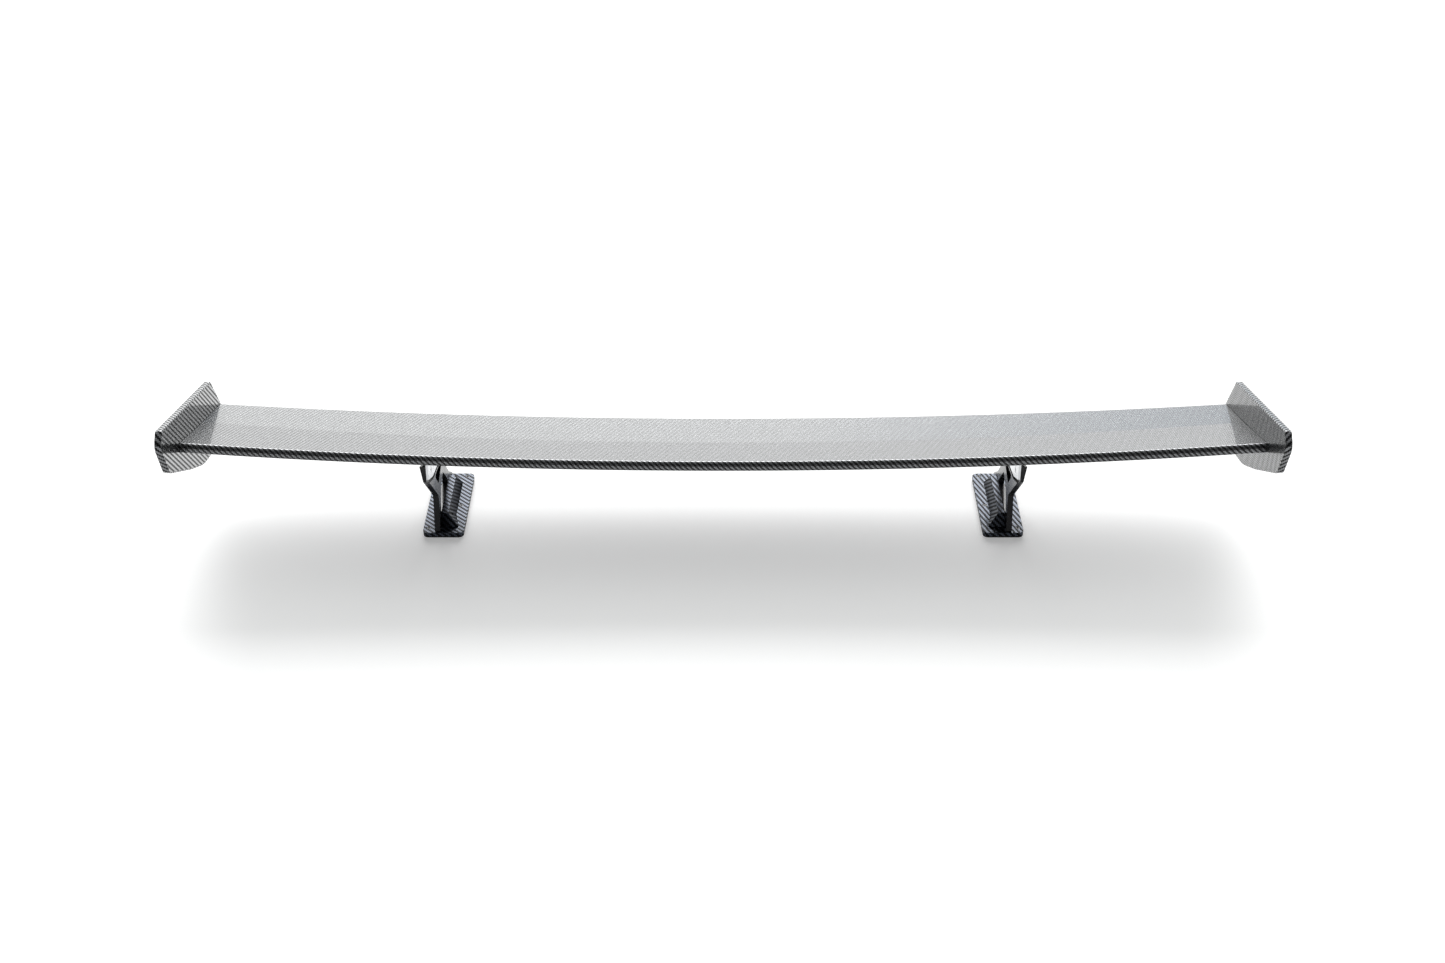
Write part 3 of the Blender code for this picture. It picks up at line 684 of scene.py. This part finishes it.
def outward_normals(outline: Array) -> Array:
    """Unit normals of a closed outline: its central difference turned a quarter turn clockwise.

    Args:
        outline: The outline, (n, 2), anticlockwise.

    Returns:
        The normals, (n, 2).
    """
    along = np.roll(outline, -1, 0) - np.roll(outline, 1, 0)
    normal = np.stack([along[:, 1], -along[:, 0]], axis=1)
    return normal / np.linalg.norm(normal, axis=1)[:, None]


def circle(centre: Sequence[float], radius: float, sides: int = 32) -> Array:
    """Anticlockwise circle, (sides, 2)."""
    angles = np.linspace(0, 2 * math.pi, sides, endpoint=False)
    return np.array(centre) + radius * np.stack([np.cos(angles), np.sin(angles)], axis=1)


def closed(loop: Array) -> Array:
    """The loop with its first row repeated at the end."""
    return np.concatenate([loop, loop[:1]])


def lengths(line: Array) -> Array:
    """Distance along a line to each of its points."""
    return np.concatenate([[0.0], np.cumsum(np.linalg.norm(np.diff(line, axis=0), axis=1))])


# --- wing element
@dataclass(frozen=True)
class Section:
    """The wing's section and how it is carried along the span, in metres and radians."""

    chord: float = 0.2225
    thick_trailing: float = 0.0114
    thick_max: float = 0.0240
    thick_nose: float = 0.0210
    thickest_at: float = 0.6
    top_sag: float = 0.0016
    trailing_round: float = 0.004
    nose_round: float = 0.016
    wall: float = 0.0015
    bond_gap: float = 0.00015
    attack: float = math.radians(15.6)
    tip_twist: float = math.radians(1.0)
    tip_rise: float = 0.0257
    span_reference: float = 0.642
    trailing_y: float = -0.0748
    trailing_z: float = 0.1573

    def thickness(self, c: Array) -> Array:
        """Quarter sine up to the thickest point, then a parabola.

        Args:
            c: Distances forward along the chord.

        Returns:
            The thicknesses.
        """
        s = c / self.chord
        rise = self.thick_trailing + (self.thick_max - self.thick_trailing) * np.sin(
            math.pi / 2 * np.minimum(s / self.thickest_at, 1.0))
        past = np.maximum(s - self.thickest_at, 0.0) / (1 - self.thickest_at)
        return rise - (self.thick_max - self.thick_nose) * past**2

    def rounding(self, c: Array) -> Array:
        """Cubic round at the trailing edge and an ellipse at the nose.

        Args:
            c: Distances forward along the chord.

        Returns:
            Shares of the thickness.
        """
        tail = np.clip(1 - c / self.trailing_round, 0, 1)
        nose = np.clip((c - self.chord + self.nose_round) / self.nose_round, 0, 1)
        return np.where(tail > 0, np.cbrt(1 - tail**3), np.sqrt(1 - nose**2))

    def middle(self, c: Array) -> Array:
        """Middle line: half the thickness under a top line that sags by a parabola."""
        s = c / self.chord
        return -4 * self.top_sag * s * (1 - s) - self.thickness(c) / 2

    def surface(self, c: Array, way: int) -> Array:
        """Outer surface on the top (+1) or the underside (-1)."""
        return self.middle(c) + way * self.thickness(c) / 2 * self.rounding(c)

    def carry(self, x: Array, c: Array, n: Array) -> Array:
        """Place section points on the wing.

        The square of x lifts and twists the section towards the tips; then chord and height are turned by the
        angle of attack about the trailing edge.

        Args:
            x: Places along the span.
            c: Distances forward along the chord.
            n: Heights over the chord line.

        Returns:
            Points, with a last axis of 3.
        """
        out = (x / self.span_reference) ** 2
        angle = self.attack + self.tip_twist * out
        y = self.trailing_y + c * np.cos(angle) + n * np.sin(angle)
        z = self.trailing_z + self.tip_rise * out - c * np.sin(angle) + n * np.cos(angle)
        return np.stack(np.broadcast_arrays(x, y, z), axis=-1)


@dataclass
class WingElement:
    """The two carbon skins of the main element, bonded at the nose and along the trailing edge."""

    section: Section = Section()
    reach: float = 0.6417
    stations: int = 161

    def chord_samples(self) -> Array:
        """Chord places, closer together in both rounds: cosine steps in each, even steps between.

        Returns:
            Distances forward along the chord.
        """
        s = self.section
        tail = s.trailing_round * (1 - np.cos(math.pi / 2 * np.linspace(0, 1, 11)))
        flat = np.linspace(s.trailing_round, s.chord - s.nose_round, 42)[1:-1]
        nose = s.chord - s.nose_round * (1 - np.sin(math.pi / 2 * np.linspace(0, 1, 19)))
        return np.concatenate([tail, flat, nose])

    def skin_line(self, way: int) -> tuple[Array, Array]:
        """Outline of one skin: the inner line lies a wall's thickness from the outer one, along its normal.

        Args:
            way: 1 for the top and -1 for the underside.

        Returns:
            The outer and the inner line, (n, 2) each.
        """
        s, c = self.section, self.chord_samples()
        outer = np.stack([c, s.surface(c, way)], axis=1)
        outer[[0, -1], 1] = s.middle(c[[0, -1]]) + way * s.bond_gap
        along = np.gradient(outer, axis=0)
        normal = np.stack([along[:, 1], -along[:, 0]], axis=1) * way
        normal[0], normal[-1] = (1, 0), (-1, 0)
        return outer, outer + normal / np.linalg.norm(normal, axis=1)[:, None] * s.wall

    def build(self) -> None:
        """Build both skins as closed shells: outer face, inner face, two bonded edges and two ends."""
        for name, way in (("wing_upper_skin", 1), ("wing_lower_skin", -1)):
            outer, inner = self.skin_line(way)
            x = np.linspace(-self.reach, self.reach, self.stations)
            shell = Shell(f"{name}_fine")
            run = way * lengths(outer)
            for line in (outer, inner):
                points = self.section.carry(x[:, None], line[None, :, 0], line[None, :, 1])
                shell.add_grid(points, np.stack(np.broadcast_arrays(x[:, None], run[None, :]), axis=-1))
            for end in (0, -1):
                pair = np.stack([outer[end], inner[end]])
                points = self.section.carry(x[:, None], pair[None, :, 0], pair[None, :, 1])
                uv = np.stack(np.broadcast_arrays(x[:, None], run[end] + np.array([[0, self.section.wall]])), axis=-1)
                shell.add_grid(points, uv)
            for tip in (x[0], x[-1]):
                rim = np.stack([outer, inner])
                points = self.section.carry(np.full(rim.shape[:2], tip), rim[..., 0], rim[..., 1])
                shell.add_grid(points, rim)
            shell.build(Finishes.WING_CARBON, Body.WING, [name])

    def dress_structure(self) -> None:
        """Give the spars, ribs and mounting blocks inside the skins their own finishes."""
        for name in ("wing_spar_front", "wing_spar_rear"):
            softened(name, f"{name}_carbon", Finishes.SPAR_CARBON, Body.WING, 0.0003,
                     lambda places, normals: places[:, :2])
        for side in Side:
            softened(f"end_rib_{side.label}", f"end_rib_{side.label}_board", Finishes.BOARD, Body.WING, 0.0003)
            softened(f"mount_block_{side.label}", f"mount_block_{side.label}_alloy", Finishes.SILVER_ALLOY,
                     Body.WING, 0.0004)


# --- endplates
@dataclass
class Endplate:
    """One swept endplate with rounded edges and three countersunk screw seats in its outer face."""

    side: Side
    section: Section = Section()
    inner_x: float = 0.642
    outer_x: float = 0.650
    edge_radius: float = 0.0011
    support: float = 0.0007
    seat_radius: float = 0.0043
    bore_radius: float = 0.0023
    seat_depth: float = 0.0025
    seat_lip: float = 0.0003
    seat_break: float = 0.0002
    screw_chord: tuple[float, float, float] = (0.035, 0.105, 0.172)
    corners: tuple[tuple[float, float, float], ...] = (
        (-0.1335, 0.2336, 0.005), (-0.1483, 0.2190, 0.014), (-0.1290, 0.1755, 0.010), (-0.1200, 0.1688, 0.008),
        (-0.0380, 0.1244, 0.200), (0.0160, 0.0985, 0.120), (0.0540, 0.0899, 0.080), (0.0970, 0.0890, 0.060),
        (0.1460, 0.0994, 0.008), (0.0970, 0.1713, 0.006))

    def build(self) -> None:
        """Build the plate.

        The rim is the outline carried round a profile of two quarter circles; each flat is filled between the
        rim and the screw seats. The cloth runs on from the flats over the rim.
        """
        outline = resampled(fillet(self.corners), 0.004)
        normals = outward_normals(outline)
        radius, quarter = self.edge_radius, np.linspace(0, math.pi / 2, 6)
        thick = self.outer_x - self.inner_x
        inset = np.concatenate([[radius + self.support], radius * (1 - np.sin(quarter)),
                                radius * (1 - np.cos(quarter)), [radius + self.support]])
        depth = np.concatenate([[0.0], radius * (1 - np.cos(quarter)),
                                thick - radius * (1 - np.sin(quarter)), [thick]])
        rings = outline[None] - inset[:, None, None] * normals[None]
        sign = self.side.value
        shell = Shell(f"endplate_{self.side.label}_fine")
        run = lengths(closed(outline))
        over = lengths(np.stack([inset, depth], axis=1))
        rim = np.stack([closed(ring) for ring in rings])
        x = np.broadcast_to(sign * (self.inner_x + depth)[:, None], rim.shape[:2])
        uv = np.stack(np.broadcast_arrays(run[None], over[:, None]), axis=-1)
        shell.add_grid(np.concatenate([x[..., None], rim], axis=-1), uv)

        seats = [self.section.carry(np.array(self.outer_x), np.array(c), self.section.middle(np.array(c)))[1:]
                 for c in self.screw_chord]
        bores = [circle(seat, self.bore_radius) for seat in seats]
        mouth = self.seat_radius + self.seat_break
        mouths = [circle(seat, mouth) for seat in seats]
        for seat in seats:
            steps = ((self.bore_radius, self.inner_x), (self.bore_radius, self.outer_x - self.seat_depth),
                     (self.seat_radius, self.outer_x - self.seat_lip), (mouth, self.outer_x))
            wall = np.stack([closed(circle(seat, r)) for r, _ in steps])
            x = np.broadcast_to(np.array([[sign * place] for _, place in steps]), wall.shape[:2])
            shell.add_grid(np.concatenate([x[..., None], wall], axis=-1), wall)
        for ring, holes, place in ((rings[0], bores, self.inner_x), (rings[-1], mouths, self.outer_x)):
            shell.add_flat(ring, holes, lambda flat, at=place: np.column_stack([np.full(len(flat), sign * at), flat]),
                           lambda flat: flat * (1, -sign))
        shell.build(Finishes.PLATE_CARBON, Body.WING, [f"endplate_{self.side.label}"], sharp=28.0)


# --- stand
@dataclass
class Stand:
    """One foot with its cover, base and gasket, and the forked upright that it carries."""

    side: Side
    cloth_turn: float = math.radians(-25)

    def unwrap_cover(self, places: Array, normals: Array) -> Array:
        """Lay the cloth over the foot cover.

        Flats use X and Y, turned on the right foot by the cloth's turn. Slopes use the distance down them and the
        distance along them, which is mirrored on the left foot, and upright walls their length and height.

        Args:
            places: Corner places, (n, 3).
            normals: Normal of each corner's face, (n, 3).

        Returns:
            UVs in metres, (n, 2).
        """
        x, y, z = places.T
        nx, ny, nz = normals.T
        turn = self.cloth_turn if self.side is Side.RIGHT else 0.0
        turned = (x * math.cos(turn) + y * math.sin(turn), y * math.cos(turn) - x * math.sin(turn))
        level, steep, across = nz > 0.9, np.abs(nz) < 0.3, np.abs(ny) > np.abs(nx)
        u = np.select([level, steep & across, steep, across], [turned[0], x, y, x], self.side.value * (x * nz - z * nx))
        v = np.select([level, steep, across], [turned[1], z, y * nz - z * ny], y)
        return np.column_stack([u, v])

    def build(self) -> None:
        """Build the rounded copies of this side's stand pieces."""
        label = self.side.label
        for start, end, finish, width, unwrap in (
                ("foot_gasket", "rubber", Finishes.RUBBER, 0.0002, None),
                ("foot_base", "alloy", Finishes.BLACK_ALLOY, 0.0002, None),
                ("foot_cover", "carbon", Finishes.FOOT_CARBON, 0.00025, self.unwrap_cover),
                ("upright", "alloy", Finishes.BLACK_ALLOY, 0.00022, None)):
            softened(f"{start}_{label}", f"{start}_{label}_{end}", finish, Body.STAND, width, unwrap)


@dataclass
class Bracket:
    """One L-section bracket under the element."""

    side: Side

    def build(self) -> None:
        """Build the rounded copy of the bracket."""
        label = self.side.label
        softened(f"wing_bracket_{label}", f"wing_bracket_{label}_alloy", Finishes.SILVER_ALLOY, Body.WING, 0.0002)


# --- fasteners
class Kind(Enum):
    """Kinds of fastener."""

    SUNK = "countersunk screw"
    BUTTON = "button-head bolt"
    NUT = "locking nut"


@dataclass(frozen=True)
class Fastener:
    """A screw, bolt or nut with a hexagon, turned about its axis."""

    kind: Kind
    finish: Finish
    body: Body
    shank: float
    head: float
    high: float
    key: float
    way: tuple[int, int, int] | None
    pitch: float = 0.0008
    edge: float = 0.00012
    running_gap: float = 0.0003
    corner_cut: float = 1.13
    sides: int = 48

    def thread(self, length: float) -> list[tuple[float, float, float]]:
        """Grooves round the shank: a crest and a root in each pitch, then a chamfered point.

        Args:
            length: Length under the head.

        Returns:
            Rows of (radius, height, hexagon share).
        """
        turns = max(2, int((length - self.high) / self.pitch) - 1)
        heights = -length + self.pitch * np.arange(turns, 0, -1)
        crest, root, point = self.shank, self.shank - 0.3 * self.pitch, self.shank - self.pitch * 0.6
        rows = [(radius, height - shift, 0.0) for height in heights
                for radius, shift in ((crest, 0.0), (root, self.pitch / 2))]
        return rows + [(point, -length, 0.0), (0.0, -length, 0.0)]

    def profile(self, length: float) -> Array:
        """Line that is turned about the axis, from the socket's floor outwards and down the shank.

        A button head is a quarter ellipse. A nut's line is closed, with a collar over its hexagon.

        Args:
            length: Length under the head.

        Returns:
            Rows of (radius, height, hexagon share).
        """
        edge, key, head, high = self.edge, self.key, self.head, self.high
        if self.kind is Kind.NUT:
            bore, collar = self.shank + self.running_gap, 0.9 * head
            rows = [(bore, 0, 0), (head - 2 * edge, 0, 0), (head, edge, 1), (head, 0.62 * high, 1),
                    (collar, 0.66 * high, 0), (collar, high - edge, 0), (collar - edge, high, 0),
                    (bore + 2 * edge, high, 0), (bore, high - 2 * edge, 0), (bore, 0, 0)]
            return np.array(rows, float)
        top, floor = (0.0, -0.75 * high) if self.kind is Kind.SUNK else (high, 0.35 * high)
        rows = [(0, floor - edge, 0), (key - edge, floor, 1), (key, floor + edge, 1), (key, top - edge, 1),
                (key + edge, top, 1)]
        if self.kind is Kind.SUNK:
            rows += [(head - edge, top, 0), (head, top - edge, 0), (self.shank, -high, 0)]
        else:
            turn = np.linspace(0, math.pi / 2, 9)
            rows += [(head * (0.6 + 0.4 * math.sin(t)), high * (0.35 + 0.65 * math.cos(t)), 0) for t in turn]
            rows += [(head, edge, 0), (head - edge, 0, 0), (self.shank, 0, 0)]
        return np.array(rows + self.thread(length), float)

    def stance(self, node: str) -> tuple[Array, Array, float]:
        """Find how the CAD node stands.

        Its corners lie evenly round its axis, so their mean is on it. Without a given way, the axis is the
        direction in which they spread most, and the head points down.

        Args:
            node: The CAD node.

        Returns:
            The middle of its bearing face, the way its head points, and its length under that face.
        """
        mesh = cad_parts[node].data
        corners = np.unique(np.round([tuple(vertex.co) for vertex in mesh.vertices], 7), axis=0)
        centre = corners.mean(axis=0)
        if self.way is None:
            way = np.linalg.svd(corners - centre, full_matrices=False)[2][0]
            way = way * -np.sign(way[2])
        else:
            way = np.array(self.way, float)
        reach = (corners - centre) @ way
        proud = 0.0 if self.kind is Kind.SUNK else self.high
        return centre + way * (reach.max() - proud), way, float(np.ptp(reach) - proud)

    def build(self, node: str) -> None:
        """Build the piece in place of a CAD node.

        A point is the foot plus height along the axis plus radius round it. On hexagon rows the radius is that
        of the hexagon's side, cut off at the corners.

        Args:
            node: The CAD node.
        """
        foot, way, length = self.stance(node)
        rows = self.profile(length)
        angles = np.linspace(0, 2 * math.pi, self.sides + 1)
        side = 1 / np.cos(angles % (math.pi / 3) - math.pi / 6)
        radius = rows[:, :1] * (1 + rows[:, 2:] * (np.minimum(side, self.corner_cut) - 1))
        first = np.cross(way, (0.0, 1.0, 0.0))
        first /= np.linalg.norm(first)
        second = np.cross(way, first)
        ring = np.cos(angles)[:, None] * first + np.sin(angles)[:, None] * second
        points = foot + rows[:, 1, None, None] * way + radius[..., None] * ring
        shell = Shell(f"{node}_fine")
        shell.add_grid(points, points[..., :2])
        shell.build(self.finish, self.body, [node], sharp=25.0)


class Fasteners:
    """Every screw, bolt and nut, by the start of its node's name."""

    def kinds(self, side: Side) -> dict[str, Fastener]:
        """Sizes of one side's fasteners.

        Args:
            side: The side, which decides where their heads point.

        Returns:
            The fasteners, by the start of their nodes' names.
        """
        out, inward = (side.value, 0, 0), (-side.value, 0, 0)
        steel, zinc, wing, stand = Finishes.BLACK_STEEL, Finishes.ZINC, Body.WING, Body.STAND
        return {
            "endplate_screw": Fastener(Kind.SUNK, steel, wing, 0.0020, 0.0040, 0.0022, 0.00125, out),
            "bracket_screw": Fastener(Kind.BUTTON, steel, wing, 0.0020, 0.0040, 0.0022, 0.00125, None),
            "clamp_bolt": Fastener(Kind.SUNK, zinc, wing, 0.0020, 0.0040, 0.0022, 0.00125, inward),
            "clamp_nut": Fastener(Kind.NUT, zinc, wing, 0.0020, 0.0035, 0.0026, 0.0, out),
            "pivot_bolt": Fastener(Kind.BUTTON, steel, stand, 0.0040, 0.0070, 0.0044, 0.0025, inward, 0.00125),
            "pivot_nut": Fastener(Kind.NUT, zinc, stand, 0.0040, 0.0065, 0.0062, 0.0, out),
            "upright_bolt": Fastener(Kind.SUNK, steel, stand, 0.0025, 0.0047, 0.0028, 0.0015, out),
            "foot_screw": Fastener(Kind.SUNK, steel, stand, 0.0015, 0.0028, 0.0016, 0.0010, (0, 0, 1), 0.0005),
        }

    def build(self) -> None:
        """Build the fastener for each CAD node that carries one of the names."""
        for side in Side:
            for start, fastener in self.kinds(side).items():
                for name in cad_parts:
                    if name.startswith(f"{start}_{side.label}"):
                        fastener.build(name)


# --- studio
@dataclass
class Studio:
    """Pale floor, soft light from the front and above, and a dim room behind the camera."""

    floor_half: float = 16.0
    floor_front: float = 6.5
    floor_colour: Colour = (0.86, 0.86, 0.86)
    floor_glow: float = 0.25
    sun_elevation: float = 32.0
    sun_angle: float = 50.0
    sun_strength: float = 4.0
    overhead: float = 0.8
    sky: float = 0.7
    horizon: float = 1.75
    horizon_right: float = 0.95
    room: float = 0.15

    def build(self) -> None:
        """Build the floor, the world and the soft sun."""
        self.build_floor()
        self.build_world()
        light = bpy.data.lights.new("soft key", "SUN")
        light.energy, light.angle = self.sun_strength, math.radians(self.sun_angle)
        lamp = bpy.data.objects.new("soft key", light)
        lamp.rotation_euler = (-math.radians(90 - self.sun_elevation), 0.0, 0.0)
        bpy.context.scene.collection.objects.link(lamp)

    def build_floor(self) -> None:
        """Build the floor: a square grid at height zero with a faint mottle."""
        across = np.linspace(-self.floor_half, self.floor_half, 9)
        along = np.linspace(-self.floor_half, self.floor_front, 9)
        places = np.stack(np.meshgrid(across, along, [0.0], indexing="ij"), axis=-1)[:, :, 0]
        shell = Shell("studio_floor")
        shell.add_grid(places, places[..., :2])
        mesh = bpy.data.meshes.new(shell.name)
        mesh.from_pydata(shell.points[0].tolist(), [], shell.faces[0].tolist())
        floor = bpy.data.objects.new(shell.name, mesh)
        bpy.context.scene.collection.objects.link(floor)
        material = bpy.data.materials.new("pale floor")
        material.use_nodes = True
        mesh.materials.append(material)
        sketch = NodeSketch(material.node_tree)
        shader = material.node_tree.nodes["Principled BSDF"]
        place = sketch.add("ShaderNodeTexCoord")
        mottle = sketch.noise(place.outputs["Object"], 3.0)
        dark = tuple(0.985 * value for value in self.floor_colour)
        sketch.feed(shader.inputs["Base Color"], sketch.tint(mottle, dark, self.floor_colour))
        shader.inputs["Roughness"].default_value = 0.9
        shader.inputs["Emission Color"].default_value = (1.0, 1.0, 1.0, 1.0)
        shader.inputs["Emission Strength"].default_value = self.floor_glow
        shader.inputs["Specular IOR Level"].default_value = 0.0

    def build_world(self) -> None:
        """Build the world: bright low in front, duller to the front's right, and dim behind the camera."""
        world = bpy.data.worlds.new("soft studio")
        world.use_nodes = True
        bpy.context.scene.world = world
        sketch = NodeSketch(world.node_tree)
        place = sketch.add("ShaderNodeTexCoord")
        split = sketch.add("ShaderNodeSeparateXYZ")
        sketch.feed(split.inputs[0], place.outputs["Generated"])
        aside, front, up = split.outputs
        walls = sketch.pick(sketch.span(front, -0.35, 0.25, 0.0, 1.0), self.room, self.sky)
        dome = sketch.pick(sketch.span(up, 0.5, 0.82, 0.0, 1.0), walls, self.overhead)
        band = sketch.math("MULTIPLY", sketch.span(front, 0.80, 0.97, 0.0, 1.0), sketch.span(up, 0.10, 0.055, 0.0, 1.0))
        dusk = sketch.math("MULTIPLY", sketch.span(aside, 0.03, 0.25, 0.0, 1.0), band)
        strength = sketch.pick(band, dome, sketch.pick(dusk, self.horizon, self.horizon_right))
        background = world.node_tree.nodes["Background"]
        sketch.feed(background.inputs["Color"], sketch.tint(dusk, (0.985, 1.0, 0.995), (0.80, 0.90, 1.0)))
        sketch.feed(background.inputs["Strength"], strength)


@dataclass
class Camera:
    """Camera behind and above the wing, level and looking forward and down."""

    place: tuple[float, float, float] = (-0.001, -2.207, 1.4418)
    pitch: float = 31.6
    lens: float = 52.3

    def build(self) -> None:
        """Create the camera and make it the scene's."""
        data = bpy.data.cameras.new("camera")
        data.lens, data.sensor_width, data.clip_end = self.lens, 36.0, 100.0
        camera = bpy.data.objects.new("camera", data)
        camera.location = self.place
        camera.rotation_euler = (math.radians(90 - self.pitch), 0.0, 0.0)
        bpy.context.scene.collection.objects.link(camera)
        bpy.context.scene.camera = camera


def main() -> None:
    """Build the studio and every piece."""
    logging.basicConfig(level=logging.INFO, format="%(name)s: %(message)s")
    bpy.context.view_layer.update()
    bpy.context.scene.view_settings.view_transform = "Standard"
    Camera().build()
    Studio().build()
    element = WingElement()
    element.build()
    element.dress_structure()
    for side in Side:
        Endplate(side).build()
        Bracket(side).build()
        Stand(side).build()
    Fasteners().build()
    bpy.context.view_layer.update()


if __name__ == "__main__":
    main()
